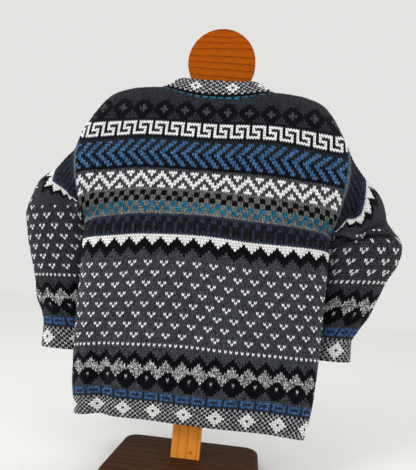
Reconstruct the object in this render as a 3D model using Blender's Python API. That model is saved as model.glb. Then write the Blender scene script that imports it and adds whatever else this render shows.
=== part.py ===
"""A hand-knitted fair isle sweater hanging on a wooden display stand.

Units are metres, +Z is up and the origin is on the floor, under the middle of the stand's base.
The sweater's back faces -Y. Its front, sleeves and neckband are separate knitted pieces, sewn edge
to edge. Heights of the sweater are counted in knitted rows, from row 0 at the hem.
"""

import math

import bmesh
import bpy
import numpy as np

# Cloth
WALL = 0.0035  # a heavy two-strand knit
SEAM = 0.0003  # gap between pieces that touch
ROW = 0.0054  # height of a knitted row on the body
ROWS = 134  # rows of the body at the side of the neck
UNDERARM = 81  # the row where the side seam ends and the armhole starts

# Heights above the floor
BASE_HEIGHT = 0.030
NECK_POINT = BASE_HEIGHT + 0.7975  # the shoulder seam beside the neck
SLOPE_ROW = 0.0055  # height that the shoulder slope loses for each row cut away

# Neck, across the panel: 0 is the middle and 1 the armhole
NECK_SIDE = 0.43
BACK_NECK_ROWS = 8
FRONT_NECK_ROWS = 22
NECKBAND_RISE = (0.040, 0.019)  # at the middle and at the sides
NECKBAND_LEAN = (0.014, 0.036)  # inwards, at the middle and at the sides

MIDDLE = -0.003  # the sweater hangs a little to one side of the post

# Wooden stand
POST_WIDTH = 0.062
BOARD = 0.022  # thickness of the post and of the shoulder board
BOARD_END = 0.205
BOARD_LOW = BASE_HEIGHT + 0.722
HEAD_RADIUS = 0.0725
HEAD_THICK = 0.018
HEAD_HEIGHT = BASE_HEIGHT + 0.858
BASE_SIZE = (0.320, 0.275)
BASE_CORNER = 0.034

# Grid of the cloth
NECK_COLUMNS = 10  # columns from the middle to the side of the neck
SHOULDER_COLUMNS = 7
LOW_ROWS = 12
# Shares of the way down from the shoulder seam to the underarm.
HIGH_SHARES = (0.0, 0.022, 0.045, 0.078, 0.118, 0.175, 0.25, 0.345, 0.455, 0.575, 0.705, 0.85, 1.0)
SLEEVE_RINGS = 16
EDGE = 1e-4  # step for slopes, as a share of a panel


def table(names, *rows):
    """A table with named columns."""
    return dict(zip(names, np.array(rows, float).T))


# Distance down a panel from the shoulder seam, in rows: how far it drops and stands out.
HANG = table(
    ("rows", "drop", "depth"),
    (0, 0.0, 0.0),
    (1, 0.0003, 0.0060),
    (2, 0.0018, 0.0115),
    (3, 0.0045, 0.0168),
    (4, 0.0080, 0.0215),
    (6, 0.0165, 0.0300),
    (8, 0.0255, 0.0375),
    (14, 0.0610, 0.0530),
    (22, 0.1085, 0.0615),
    (34, 0.1730, 0.0660),
    (54, 0.2805, 0.0670),
    (112, 0.5937, 0.0620),
    (134, 0.7125, 0.0560),
)
# Half of the body's width at each row.
SIDE = table(
    ("row", "half_width"),
    (0, 0.2500),
    (5, 0.2550),
    (14, 0.2620),
    (36, 0.2665),
    (81, 0.2670),
    (92, 0.2750),
    (104, 0.2820),
    (112, 0.2800),
    (118, 0.2770),
)
# Drop of the shoulder seam, from the side of the neck to the armhole.
CREST = table(
    ("across", "drop"),
    (0.0, 0.0),
    (0.43, 0.0),
    (0.60, 0.004),
    (0.72, 0.012),
    (0.80, 0.021),
    (0.87, 0.036),
    (0.92, 0.054),
    (0.96, 0.075),
    (1.0, 0.097),
)
# Soft vertical folds of the body: where they are, and how far the cloth goes in.
FOLD_COLUMNS = ("x", "low_row", "high_row", "width", "depth")
BACK_FOLDS = table(
    FOLD_COLUMNS,
    (-0.190, -30, 40, 0.024, 0.022),
    (-0.228, -20, 62, 0.018, -0.007),
    (-0.085, -20, 46, 0.040, 0.005),
    (0.055, -20, 56, 0.045, -0.005),
    (0.170, -20, 50, 0.034, 0.006),
    (-0.205, 60, 118, 0.030, 0.006),
    (0.205, 56, 112, 0.030, 0.007),
)
FRONT_FOLDS = table(
    FOLD_COLUMNS,
    (0.175, -25, 48, 0.026, 0.014),
    (0.060, -20, 70, 0.040, -0.006),
    (-0.070, -20, 52, 0.036, 0.007),
    (-0.185, -20, 44, 0.030, 0.009),
    (0.0, 66, 112, 0.050, 0.006),
)
# A sleeve from the armhole (0) to the cuff (1): its outer and inner edge, and its depth.
SLEEVE_COLUMNS = ("along", "outer_x", "outer_y", "outer_z", "inner_x", "inner_y", "inner_z", "depth")
SLEEVE_LEFT = table(
    SLEEVE_COLUMNS,
    (0.000, 0.2800, 0.000, 0.706, 0.2670, 0.000, 0.501, 0.066),
    (0.086, 0.2936, 0.004, 0.660, 0.2720, 0.008, 0.500, 0.064),
    (0.150, 0.3166, 0.008, 0.634, 0.2745, 0.018, 0.497, 0.063),
    (0.210, 0.3375, 0.011, 0.608, 0.2750, 0.028, 0.493, 0.062),
    (0.305, 0.3797, 0.018, 0.575, 0.2740, 0.040, 0.484, 0.060),
    (0.370, 0.3965, 0.026, 0.543, 0.2720, 0.047, 0.474, 0.059),
    (0.458, 0.4127, 0.038, 0.498, 0.2690, 0.056, 0.458, 0.056),
    (0.530, 0.4120, 0.050, 0.460, 0.2670, 0.060, 0.434, 0.053),
    (0.633, 0.4029, 0.062, 0.403, 0.2660, 0.066, 0.386, 0.046),
    (0.721, 0.3934, 0.069, 0.353, 0.2660, 0.070, 0.342, 0.041),
    (0.800, 0.3865, 0.073, 0.311, 0.2680, 0.074, 0.304, 0.036),
    (0.851, 0.3735, 0.075, 0.283, 0.2660, 0.076, 0.278, 0.030),
    (0.910, 0.3668, 0.076, 0.250, 0.2640, 0.077, 0.247, 0.025),
    (1.000, 0.3687, 0.078, 0.199, 0.2640, 0.078, 0.200, 0.024),
)
SLEEVE_RIGHT = table(
    SLEEVE_COLUMNS,
    (0.000, 0.2800, 0.000, 0.706, 0.2670, 0.000, 0.501, 0.066),
    (0.087, 0.2960, 0.003, 0.668, 0.2720, 0.008, 0.500, 0.065),
    (0.185, 0.3233, 0.008, 0.631, 0.2745, 0.022, 0.496, 0.064),
    (0.283, 0.3532, 0.014, 0.596, 0.2740, 0.036, 0.491, 0.063),
    (0.370, 0.3760, 0.021, 0.560, 0.2725, 0.046, 0.485, 0.061),
    (0.457, 0.3980, 0.031, 0.526, 0.2710, 0.056, 0.478, 0.058),
    (0.511, 0.4149, 0.039, 0.507, 0.2700, 0.059, 0.470, 0.055),
    (0.560, 0.4193, 0.045, 0.482, 0.2690, 0.062, 0.456, 0.052),
    (0.600, 0.4170, 0.052, 0.459, 0.2680, 0.064, 0.440, 0.050),
    (0.674, 0.4000, 0.062, 0.419, 0.2670, 0.068, 0.404, 0.046),
    (0.739, 0.3899, 0.068, 0.383, 0.2660, 0.071, 0.370, 0.041),
    (0.804, 0.3765, 0.072, 0.346, 0.2640, 0.073, 0.335, 0.036),
    (0.870, 0.3555, 0.075, 0.310, 0.2600, 0.075, 0.301, 0.031),
    (0.925, 0.3415, 0.076, 0.279, 0.2560, 0.077, 0.273, 0.026),
    (1.000, 0.3435, 0.078, 0.235, 0.2550, 0.078, 0.234, 0.025),
)
# Creases of a sleeve: along it, around it (0.25 is the back), their reach and how far they stand out.
CREASE_COLUMNS = ("along", "around", "reach_along", "reach_around", "height")
CREASES_LEFT = table(
    CREASE_COLUMNS,
    (0.24, 0.36, 0.045, 0.13, -0.008),
    (0.40, 0.30, 0.060, 0.20, 0.005),
    (0.70, 0.20, 0.050, 0.16, -0.004),
    (0.30, 0.66, 0.050, 0.16, -0.008),
    (0.52, 0.72, 0.060, 0.18, 0.005),
)
CREASES_RIGHT = table(
    CREASE_COLUMNS,
    (0.31, 0.20, 0.060, 0.20, 0.009),
    (0.405, 0.24, 0.032, 0.20, -0.013),
    (0.55, 0.12, 0.060, 0.16, 0.005),
    (0.76, 0.14, 0.050, 0.14, -0.005),
    (0.34, 0.70, 0.050, 0.18, -0.009),
)


# Wooden and woollen finishes

WOODS = {
    "pine": ((0.62, 0.30, 0.09), 0.42),
    "pine_dark": ((0.50, 0.20, 0.05), 0.38),
    "walnut": ((0.10, 0.055, 0.04), 0.22),
}
WOOL = ((0.08, 0.085, 0.10), 0.95)


def material(name, colour, roughness):
    mat = bpy.data.materials.new(name)
    mat.use_nodes = True
    shader = mat.node_tree.nodes["Principled BSDF"]
    shader.inputs["Base Color"].default_value = (*colour, 1.0)
    shader.inputs["Roughness"].default_value = roughness
    shader.inputs["Metallic"].default_value = 0.0
    mat.diffuse_color = (*colour, 1.0)
    return mat


# Curves through the tables


def along(columns, name, at):
    """A smooth curve through a table's column that never overshoots it."""
    x, y = list(columns.values())[0], columns[name]
    width, slope = np.diff(x), np.diff(y) / np.diff(x)
    inner = slope[:-1] * slope[1:]
    total = np.where(inner > 0, slope[:-1] + slope[1:], 1.0)
    lean = np.concatenate([slope[:1], np.where(inner > 0, 2 * inner / total, 0.0), slope[-1:]])
    at = np.asarray(at, float)
    i = np.clip(np.searchsorted(x, at) - 1, 0, len(x) - 2)
    t = (at - x[i]) / width[i]
    rise = (3 - 2 * t) * t * t
    start, end = t * (1 - t) ** 2, t * t * (t - 1)
    return y[i] + (y[i + 1] - y[i]) * rise + width[i] * (start * lean[i] + end * lean[i + 1])


def ease(t):
    t = np.clip(t, 0.0, 1.0)
    return t * t * (3 - 2 * t)


def even_angles(ratio, last):
    """A function from a share of an ellipse's arc to its angle, for an ellipse of that ratio."""
    angle = np.linspace(0.0, last, 721)
    length = np.hypot(np.cos(angle), ratio * np.sin(angle))
    done = np.concatenate([[0.0], np.cumsum((length[1:] + length[:-1]) / 2)])
    return lambda share: np.interp(share, done / done[-1], angle)


PANEL_ANGLE = even_angles(0.25, math.pi / 2)
# A sleeve's angle is counted from its outer edge, where the oval is narrow.
SLEEVE_ANGLE = even_angles(2.0, math.pi)


# The body


def crest(across):
    """Height of the shoulder seam."""
    return NECK_POINT - along(CREST, "drop", np.abs(across))


def top_row(across):
    """The last row of a panel at the shoulder seam."""
    return ROWS - (NECK_POINT - crest(across)) / SLOPE_ROW


def neck_row(across, side):
    """The row where the neck is cut, or the shoulder seam's row beside the neck."""
    share = np.clip(np.abs(across) / NECK_SIDE, 0.0, 1.0)
    scoop = BACK_NECK_ROWS * (1 - share**2.4) if side < 0 else FRONT_NECK_ROWS * (1 - share**2.6) ** 0.75
    return np.where(share < 1, ROWS - scoop, top_row(across))


def folds(x, row, columns):
    """How far the cloth goes in at a place on a panel."""
    total = np.zeros(np.broadcast(x, row).shape)
    for fold_x, low, high, width, depth in zip(*columns.values()):
        lengthwise = np.clip((row - low) / (high - low), 0.0, 1.0)
        total = total + depth * np.exp(-(((x - fold_x) / width) ** 2)) * np.sin(math.pi * lengthwise)
    return total


def body_point(across, row, side):
    """A point of a panel's outside: across is -1 to 1, side is -1 on the back and 1 on the front."""
    below = top_row(across) - row
    angle = np.sign(across) * PANEL_ANGLE(np.abs(across))
    opened = ease((row - UNDERARM) / 13)
    depth = along(HANG, "depth", below) * (1.06 if side > 0 else 1.0)
    x = along(SIDE, "half_width", row) * ((1 - opened) * np.sin(angle) + opened * across)
    flat = np.sqrt(np.clip((row - UNDERARM) / 13, 0.0, 1.0))
    flat = np.where(flat < 1, flat * (1.5 - 0.5 * flat), 1.0)
    round_y = flat + (1 - flat) * np.cos(angle)
    inward = folds(x, row, BACK_FOLDS if side < 0 else FRONT_FOLDS) * (1 - np.abs(across) ** 6)
    y = side * (depth * round_y - inward * np.minimum(1.0, below / 12))
    edge = np.abs(across)
    dip = 0.017 * edge**8 * np.exp(-(((row - UNDERARM) / 9.0) ** 2))
    hem = 0.0155 * edge**3 * (1 - ease(row / 44))
    z = crest(across) - along(HANG, "drop", below) - dip - hem
    return np.stack(np.broadcast_arrays(x, y, z), -1)


def unit(v):
    return v / np.maximum(np.linalg.norm(v, axis=-1, keepdims=True), 1e-12)


def body_normal(across, row, side):
    step = 0.15
    top = neck_row(across, side)
    left, right = np.clip(across - EDGE, -1, 1), np.clip(across + EDGE, -1, 1)
    low, high = np.maximum(row - step, -1.0), np.minimum(row + step, top)
    sideways = body_point(right, row, side) - body_point(left, row, side)
    upwards = body_point(across, high, side) - body_point(across, low, side)
    return unit(np.cross(sideways, upwards)) * (-side)


def armhole(row, side, sign):
    """The seam curve of the armhole, and the direction out of the loop that it makes."""
    point = body_point(np.full(np.shape(row), float(sign)), row, side)
    step = 0.05
    last = top_row(np.float64(1.0))
    before = body_point(np.full(np.shape(row), float(sign)), np.maximum(row - step, UNDERARM), side)
    after = body_point(np.full(np.shape(row), float(sign)), np.minimum(row + step, last), side)
    run = after - before
    out = np.stack([np.zeros(np.shape(row)), side * run[..., 2], -side * run[..., 1]], -1)
    out[np.asarray(row) <= UNDERARM] = (0.0, 0.0, -1.0)
    out[np.asarray(row) >= last] = (0.0, 0.0, 1.0)
    return point, unit(out)


def panel_columns():
    inner = NECK_SIDE * np.sin(np.linspace(0, math.pi / 2, NECK_COLUMNS + 1))
    outer = np.linspace(NECK_SIDE, 1.0, SHOULDER_COLUMNS + 1)[1:]
    half = np.concatenate([inner, outer])
    return np.concatenate([-half[:0:-1], half])


def panel_grid(side):
    """Points of a panel's outside and the way its wall goes, column by column."""
    across = panel_columns()[:, None]
    top = neck_row(across, side)
    low = np.linspace(0, UNDERARM, LOW_ROWS + 1)
    share = 1 - np.array(HIGH_SHARES)[-2::-1]
    row = np.concatenate([np.broadcast_to(low, (len(across), len(low))), UNDERARM + (top - UNDERARM) * share], 1)
    across = np.broadcast_to(across, row.shape)
    point = body_point(across, row, side)
    normal = body_normal(across, row, side)
    for column, sign in ((0, -1), (-1, 1)):
        seam = row[column] <= UNDERARM
        normal[column, seam, 1] = 0.0
        point[column, seam, 1] += side * SEAM / 2
        hole = ~seam
        _, normal[column, hole] = armhole(row[column, hole], side, sign)
        point[column, hole, 0] -= sign * SEAM / 2
        corner = LOW_ROWS
        normal[column, corner] = (sign, 0.0, -1.0)
        point[column, corner, 0] -= sign * SEAM / 2
    shoulder = np.abs(across[:, -1]) >= NECK_SIDE - 1e-9
    shoulder[[0, -1]] = False
    normal[shoulder, -1, 1] = 0.0
    point[shoulder, -1, 1] += side * SEAM / 2
    point[[0, -1], -1, 1] += side * SEAM / 2
    length = np.linalg.norm(normal, axis=-1, keepdims=True)
    normal = np.where(length > 1.01, normal, normal / length)
    return point, normal


# The sleeves


def sleeve_frame(share, columns):
    """Middle of a sleeve's ring, half its width as a vector to the outer edge, and its depth."""
    outer, inner = [
        np.stack([along(columns, f"{edge}_{axis}", share) for axis in "xyz"], -1) for edge in ("outer", "inner")
    ]
    middle = (outer + inner) / 2 + np.array([0.0, 0.0, BASE_HEIGHT])
    half = (outer - inner) / 2
    return middle, half, along(columns, "depth", share)


def sleeve_point(share, around, sign):
    """A point of a sleeve's outside; around is 0 at its top, 0.25 on the back and 0.5 underneath."""
    columns, creases = (SLEEVE_LEFT, CREASES_LEFT) if sign < 0 else (SLEEVE_RIGHT, CREASES_RIGHT)
    share, around = np.broadcast_arrays(np.asarray(share, float), np.asarray(around, float))
    back = np.where(around <= 0.5, -1.0, 1.0)
    from_top = np.minimum(around, 1 - around) * 2
    last = top_row(np.float64(1.0))
    row = last - (last - UNDERARM) * from_top
    hole = np.where(
        (back < 0)[..., None],
        body_point(np.ones_like(row), row, -1),
        body_point(np.ones_like(row), row, 1),
    )
    middle, half, depth = sleeve_frame(share, columns)
    start, start_half, start_depth = sleeve_frame(np.zeros(1), columns)
    up = (hole[..., 2] - start[0, 2]) / start_half[0, 2]
    out = -hole[..., 1] / start_depth[0]
    spare = hole[..., 0] - (start[0, 0] + up * start_half[0, 0])
    angle = SLEEVE_ANGLE(from_top)
    rounder = ease(share / 0.3)
    up = (1 - rounder) * up + rounder * np.cos(angle)
    out = (1 - rounder) * out + rounder * -back * np.sin(angle)
    radial = up[..., None] * half
    radial = radial + np.stack([np.zeros_like(out), -out * depth, np.zeros_like(out)], -1)
    stand = np.full_like(share, WALL)
    for crease, centre, reach, width, height in zip(*creases.values()):
        turn = np.abs(around - centre)
        turn = np.minimum(turn, 1 - turn)
        stand = stand + height * np.exp(-(((share - crease) / reach) ** 2) - (turn / width) ** 2)
    stand = stand * ease(share / 0.1)
    point = middle + radial + unit(radial) * stand[..., None]
    point[..., 0] += spare * (1 - rounder)
    point[..., 0] *= sign
    return point


def sleeve_normal(share, around, sign):
    step = 0.004
    before, after = np.maximum(share - step, 0), np.minimum(share + step, 1)
    lengthwise = sleeve_point(after, around, sign) - sleeve_point(before, around, sign)
    turning = sleeve_point(share, (around + EDGE) % 1, sign) - sleeve_point(share, (around - EDGE) % 1, sign)
    return unit(np.cross(turning, lengthwise)) * sign


def sleeve_grid(sign):
    down = np.array(HIGH_SHARES)
    sewn = np.concatenate([down, 2 - down[-2:0:-1]]) / 2
    share = np.linspace(0, 1, SLEEVE_RINGS + 1)[:, None]
    evened = ease(share / 0.25)
    around = (1 - evened) * sewn + evened * np.arange(len(sewn)) / len(sewn)
    share = np.broadcast_to(share, around.shape)
    point, normal = sleeve_point(share, around, sign), sleeve_normal(share, around, sign)
    last = top_row(np.float64(1.0))
    for k, turn in enumerate(sewn):
        row = np.array([last - (last - UNDERARM) * min(turn, 1 - turn) * 2])
        seam, out = armhole(row, -1 if turn <= 0.5 else 1, sign)
        point[0, k], normal[0, k] = seam[0], out[0]
        point[0, k, 0] += sign * SEAM / 2
    return point, normal


# The neckband


def neckband_top(point, across, side):
    """The band's free edge above a place on the neck: it leans in round the neck and stands up."""
    share = np.abs(across) / NECK_SIDE
    middle = 1 - share**2
    x = point[..., 0] - np.sign(across) * NECKBAND_LEAN[1] * share**2
    y = point[..., 1] - side * NECKBAND_LEAN[0] * middle
    rise = NECKBAND_RISE[1] + (NECKBAND_RISE[0] - NECKBAND_RISE[1]) * middle
    return np.stack([x, y, point[..., 2] + rise], -1)


def neckband_grid():
    """Rings of the neckband: its sewn edge is the neck edge of both panels."""
    columns = panel_columns()
    inside = columns[np.abs(columns) <= NECK_SIDE + 1e-9]
    across = np.concatenate([inside, inside[-2:0:-1]])
    side = np.concatenate([np.full(len(inside), -1.0), np.full(len(inside) - 2, 1.0)])
    edge, out = [], []
    for a, s in zip(across, side):
        row = neck_row(np.array([a]), s)
        edge.append(body_point(np.array([a]), row, s)[0])
        normal = body_normal(np.array([a]), row, s)[0]
        if abs(a) > NECK_SIDE - 1e-9:
            normal[1] = 0.0
        out.append(unit(normal))
    edge, out = np.array(edge), np.array(out)
    top = np.array([neckband_top(e, a, s) for e, a, s in zip(edge, across, side)])
    gap = unit(top - edge) * SEAM
    shares = (0.0, 0.33, 0.68, 1.0)
    point = np.stack([edge + gap + (top - edge - gap) * t for t in shares])
    turning = np.roll(point, -1, 1) - np.roll(point, 1, 1)
    rising = np.stack([top - edge] * len(shares))
    normal = unit(np.cross(turning, rising))
    normal[0] = out
    return point, normal


# Solids


def wall_object(name, point, normal, closed, mat, collection):
    """A wall whose outside passes through a grid of points. A closed grid runs round in its second direction."""
    point = point + np.array([MIDDLE, 0.0, 0.0])
    inner = point - normal * WALL
    lines, places = point.shape[:2]
    mesh = bmesh.new()
    outside = [[mesh.verts.new(p) for p in line] for line in point]
    inside = [[mesh.verts.new(p) for p in line] for line in inner]
    steps = places if closed else places - 1

    def strip(a, b, c, d):
        mesh.faces.new((a, b, c, d))

    for i in range(lines - 1):
        for j in range(steps):
            k = (j + 1) % places
            strip(outside[i][j], outside[i + 1][j], outside[i + 1][k], outside[i][k])
            strip(inside[i][k], inside[i + 1][k], inside[i + 1][j], inside[i][j])
    for j in range(steps):
        k = (j + 1) % places
        strip(outside[0][j], outside[0][k], inside[0][k], inside[0][j])
        strip(outside[-1][k], outside[-1][j], inside[-1][j], inside[-1][k])
    if not closed:
        for i in range(lines - 1):
            strip(outside[i][0], inside[i][0], inside[i + 1][0], outside[i + 1][0])
            strip(outside[i][-1], outside[i + 1][-1], inside[i + 1][-1], inside[i][-1])
    bmesh.ops.triangulate(mesh, faces=mesh.faces[:])
    if mesh.calc_volume(signed=True) < 0:
        bmesh.ops.reverse_faces(mesh, faces=mesh.faces[:])
    return finish(name, mesh, mat, collection, 40)


def finish(name, mesh, mat, collection, sharp):
    data = bpy.data.meshes.new(name)
    mesh.to_mesh(data)
    mesh.free()
    data.materials.append(mat)
    data.shade_smooth()
    data.set_sharp_from_angle(angle=math.radians(sharp))
    obj = bpy.data.objects.new(name, data)
    collection.objects.link(obj)
    return obj


def stand_base(mat, collection):
    """A slab with round corners and a rounded upper edge."""
    mesh = bmesh.new()
    bmesh.ops.create_cube(mesh, size=1.0)
    for v in mesh.verts:
        v.co.x *= BASE_SIZE[0]
        v.co.y *= BASE_SIZE[1]
        v.co.z = (v.co.z + 0.5) * BASE_HEIGHT
    upright = [e for e in mesh.edges if abs(e.verts[0].co.z - e.verts[1].co.z) > BASE_HEIGHT / 2]
    bmesh.ops.bevel(mesh, geom=upright, offset=BASE_CORNER, segments=7, profile=0.5, affect="EDGES")
    for height, offset, segments in ((BASE_HEIGHT, 0.011, 4), (0.0, 0.004, 2)):
        rim = [
            e
            for e in mesh.edges
            if all(abs(v.co.z - height) < 1e-6 for v in e.verts) and len(e.link_faces) == 2
        ]
        bmesh.ops.bevel(mesh, geom=rim, offset=offset, segments=segments, profile=0.5, affect="EDGES")
    return finish("stand_base", mesh, mat, collection, 35)


def plank(name, outline, thick, round_edge, mat, collection):
    """A board in the XZ plane with this outline and softened edges."""
    mesh = bmesh.new()
    face = mesh.faces.new([mesh.verts.new((x, -thick / 2, z)) for x, z in outline])
    made = bmesh.ops.extrude_face_region(mesh, geom=[face])
    moved = [g for g in made["geom"] if isinstance(g, bmesh.types.BMVert)]
    bmesh.ops.translate(mesh, verts=moved, vec=(0.0, thick, 0.0))
    if mesh.calc_volume(signed=True) < 0:
        bmesh.ops.reverse_faces(mesh, faces=mesh.faces[:])
    rim = [e for e in mesh.edges if abs(e.verts[0].co.y - e.verts[1].co.y) < thick / 2]
    bmesh.ops.bevel(mesh, geom=rim, offset=round_edge, segments=2, profile=0.5, affect="EDGES")
    return finish(name, mesh, mat, collection, 35)


def stand_post(mat, collection):
    half, low, high = POST_WIDTH / 2, BASE_HEIGHT + SEAM, BOARD_LOW - SEAM
    outline = [(-half, low), (half, low), (half, high), (-half, high)]
    return plank("stand_post", outline, BOARD, 0.0015, mat, collection)


def stand_shoulders(mat, collection):
    """The shoulder board: its upper edge carries the shoulders, and the head sits in its middle."""
    reach = BOARD_END - 0.020
    x = np.linspace(-reach, reach, 45)
    across = (x - MIDDLE) / along(SIDE, "half_width", np.float64(118))
    slope = (crest(across + EDGE) - crest(across - EDGE)) / (2 * EDGE * x[-1] / across[-1])
    carried = crest(across) - (WALL + 2 * SEAM) * np.sqrt(1 + slope**2)
    seat = HEAD_RADIUS + SEAM
    notch = HEAD_HEIGHT - np.sqrt(np.maximum(seat**2 - x**2, 0.0))
    top = np.where(np.abs(x) < seat, np.minimum(carried, notch), carried)
    end_top, end_low = top[0], BOARD_LOW + 0.006
    middle, half = (end_top + end_low) / 2, (end_top - end_low) / 2
    turn = np.linspace(-math.pi / 2, math.pi / 2, 9)[1:-1]
    right = [(reach + 0.020 * math.cos(t), middle + half * math.sin(t)) for t in turn]
    left = [(-px, pz) for px, pz in reversed(right)]
    under = [(-reach, end_low), (-POST_WIDTH / 2, BOARD_LOW), (POST_WIDTH / 2, BOARD_LOW), (reach, end_low)]
    outline = under + right + list(zip(x[::-1], top[::-1])) + left
    return plank("stand_shoulders", outline, BOARD, 0.006, mat, collection)


def stand_head(mat, collection):
    """A round flat board in place of a head."""
    mesh = bmesh.new()
    bmesh.ops.create_cone(
        mesh, cap_ends=True, segments=72, radius1=HEAD_RADIUS, radius2=HEAD_RADIUS, depth=HEAD_THICK
    )
    rim = [e for e in mesh.edges if abs(e.verts[0].co.z - e.verts[1].co.z) < HEAD_THICK / 2]
    bmesh.ops.bevel(mesh, geom=rim, offset=0.0012, segments=1, profile=0.5, affect="EDGES")
    for v in mesh.verts:
        v.co = (v.co.x, -v.co.z, v.co.y)
    obj = finish("stand_head", mesh, mat, collection, 35)
    obj.location = (0.0, 0.0, HEAD_HEIGHT)
    return obj


def main():
    for obj in list(bpy.data.objects):
        bpy.data.objects.remove(obj)
    collection = bpy.data.collections.new("sweater_on_stand")
    bpy.context.scene.collection.children.link(collection)
    wool = {}
    for name in ("back", "front", "sleeve_left", "sleeve_right", "neckband"):
        wool[name] = material("wool_" + name, *WOOL)
    wall_object("back", *panel_grid(-1), False, wool["back"], collection)
    wall_object("front", *panel_grid(1), False, wool["front"], collection)
    wall_object("sleeve_left", *sleeve_grid(-1), True, wool["sleeve_left"], collection)
    wall_object("sleeve_right", *sleeve_grid(1), True, wool["sleeve_right"], collection)
    wall_object("neckband", *neckband_grid(), True, wool["neckband"], collection)
    stand_base(material("walnut", *WOODS["walnut"]), collection)
    stand_post(material("pine_post", *WOODS["pine"]), collection)
    stand_shoulders(material("pine_shoulders", *WOODS["pine"]), collection)
    stand_head(material("pine_head", *WOODS["pine_dark"]), collection)


main()
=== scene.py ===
"""The looks of a hand-knitted fair isle sweater on a wooden display stand, seen from its back.

The cloth is rebuilt stitch by stitch over the same surfaces as the solids: each stitch is a V of two
legs, and its colour comes from short charts, which are read from the hem up.
"""

import math

import bpy
from mathutils import Matrix
import numpy as np


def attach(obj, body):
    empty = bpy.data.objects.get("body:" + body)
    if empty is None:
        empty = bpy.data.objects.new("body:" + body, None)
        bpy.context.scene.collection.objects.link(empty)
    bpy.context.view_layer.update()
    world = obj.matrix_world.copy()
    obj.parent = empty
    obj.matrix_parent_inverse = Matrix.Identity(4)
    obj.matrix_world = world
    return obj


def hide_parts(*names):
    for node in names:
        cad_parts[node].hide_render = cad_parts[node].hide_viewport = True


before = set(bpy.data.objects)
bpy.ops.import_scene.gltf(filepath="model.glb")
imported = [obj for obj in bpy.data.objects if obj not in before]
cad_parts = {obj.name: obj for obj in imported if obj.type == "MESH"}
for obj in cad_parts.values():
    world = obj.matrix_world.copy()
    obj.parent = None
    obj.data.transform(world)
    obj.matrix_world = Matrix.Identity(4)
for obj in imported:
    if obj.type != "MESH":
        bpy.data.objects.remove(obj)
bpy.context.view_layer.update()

# Cloth, as in the solids
WALL = 0.0035
SEAM = 0.0003
ROWS = 134
UNDERARM = 81
BASE_HEIGHT = 0.030
NECK_POINT = BASE_HEIGHT + 0.7975
SLOPE_ROW = 0.0055
NECK_SIDE = 0.43
BACK_NECK_ROWS = 8
FRONT_NECK_ROWS = 22
NECKBAND_RISE = (0.040, 0.019)
NECKBAND_LEAN = (0.014, 0.036)
FRONT_FULLNESS = 1.06  # the front's depth, against the back's
OPENING_ROWS = 13  # above the underarm, where the side turns into the armhole's edge
UNDERARM_DIP, UNDERARM_DIP_ROWS = 0.017, 9.0
HEM_DIP, HEM_DIP_ROWS = 0.0155, 44
STEADY_ROWS = 12  # under the shoulder seam, where folds fade out
ROUNDING, CREASE_START = 0.3, 0.1  # share of a sleeve over which it turns oval, and its creases fade in
MIDDLE = -0.003  # the garment's, from the stand's
EDGE = 1e-4  # a small step, for slopes
TINY = 1e-9

# Stitches
COLUMNS = 100  # across the back, and across the front
SLEEVE_ROWS = 92
SLEEVE_STITCHES = 96  # round its top
SLEEVE_WIDENING = ((0, 11, 30, 45, 88), (38, 47, 60, 72, 96))  # rows, and stitches round
BAND_STITCHES, BAND_ROWS = 96, 8
HEM_ROWS = 14  # the hem's bands are a piece of their own
SLEEVE_TILT = 0.09  # rise of a sleeve's rows towards the right
# Left (-1) and right (1) sleeve: height of the fold, its row, share of the way up to it at the dots, depth
# of the fold, and greatest length of the slate
SLEEVE_FOLDS = {-1: (0.550, 58.0, 0.535, 0.2, 0.110), 1: (0.483, 48.0, 0.640, 1.0, 0.086)}
DOTS_ROW = 30.5
BAND_MARKS = (SLEEVE_ROWS, 89, 81, 74)  # rows at the ends of the checks, the slate and the points
SLATE_SHARE, CHECKS_SHARE, POINTS_SHARE = 0.62, 0.18, 0.55  # of the way to the fold, the slate and the rest
POINTS_LENGTH = 0.042  # at the most
TURNS, STEPS, FINE = 64, 240, 4  # steps round a sleeve, along it and in a row
OVERHANG, TUCK = (0.016, 3.6, 3.2), (0.013, -0.4, 1.5)  # height, rows above the fold, and reach in rows
FOLD_MIDDLE, FOLD_REACH = 0.27, 0.2  # round the sleeve
DEEP_FOLD = 0.5  # deeper ones have a painted shadow line under them
SHADOW_LINE_BELOW, SHADOW_LINE_AROUND = 1.5, (0.08, 0.46)  # the painted shadow line: rows under the fold, and its ends round the sleeve
TUCKED, TUCKED_ROWS = 0.0039, (31, 73)  # rows closer than this are plain, from one row to another
RELIEF = 0.0021  # how far a leg of a stitch stands out
SHEAR = (0.35, 0.0, -0.35, 0.0)  # rows that a stitch's line rises at its sides and sinks in its middle
ACROSS = (0.0, 1.0, 0.30, 1.0)  # height of the stitch across: valley, leg, groove, leg
LENGTHWISE = (0.55, 1.0)  # height at the line between rows and half-way up
UNEVEN, UNEVEN_LIMITS = 0.13, (0.6, 1.4)  # how the height varies
CROWDED, FLATTEST = 0.0024, 0.15  # half rows closer than this stand out less
TOP_FADE = 0.8  # rows
FLECKS_DARK, FLECKS_PALE, FLECK_LIMITS = 0.52, 0.08, (0.25, 2.8)  # how the wool's colour varies
STRAND_SHARE, STRAND_SHADE = 0.38, 0.16  # the dark strand of the marl
INSIDE_SPREAD, INSIDE_LIMITS, INSIDE_SEED = 0.15, (0.5, 1.5), 7
INSIDE_STEP = 4  # quarter stitches, and half rows
INSIDE_TURNS, INSIDE_ROWS = 48, 46  # faces of a sleeve's inside
NECK_STEPS = 241
TEAL_ROWS = (0.7, 1.9)  # below the neck's edge

# Places in the map named OFBake: the outside at the left, then the rims, then the inside
MAP_LOW, MAP_HIGH, MAP_HEIGHT = 0.005, 0.995, 0.99
OUTSIDE_WIDTH = 0.82
RIM_AT, RIM_WIDTH, RIM_LOW, RIM_HEIGHT = 0.832, 0.004, 0.01, 0.98
INSIDE_AT = 0.84
INSIDE_PLIES = 40


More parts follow.
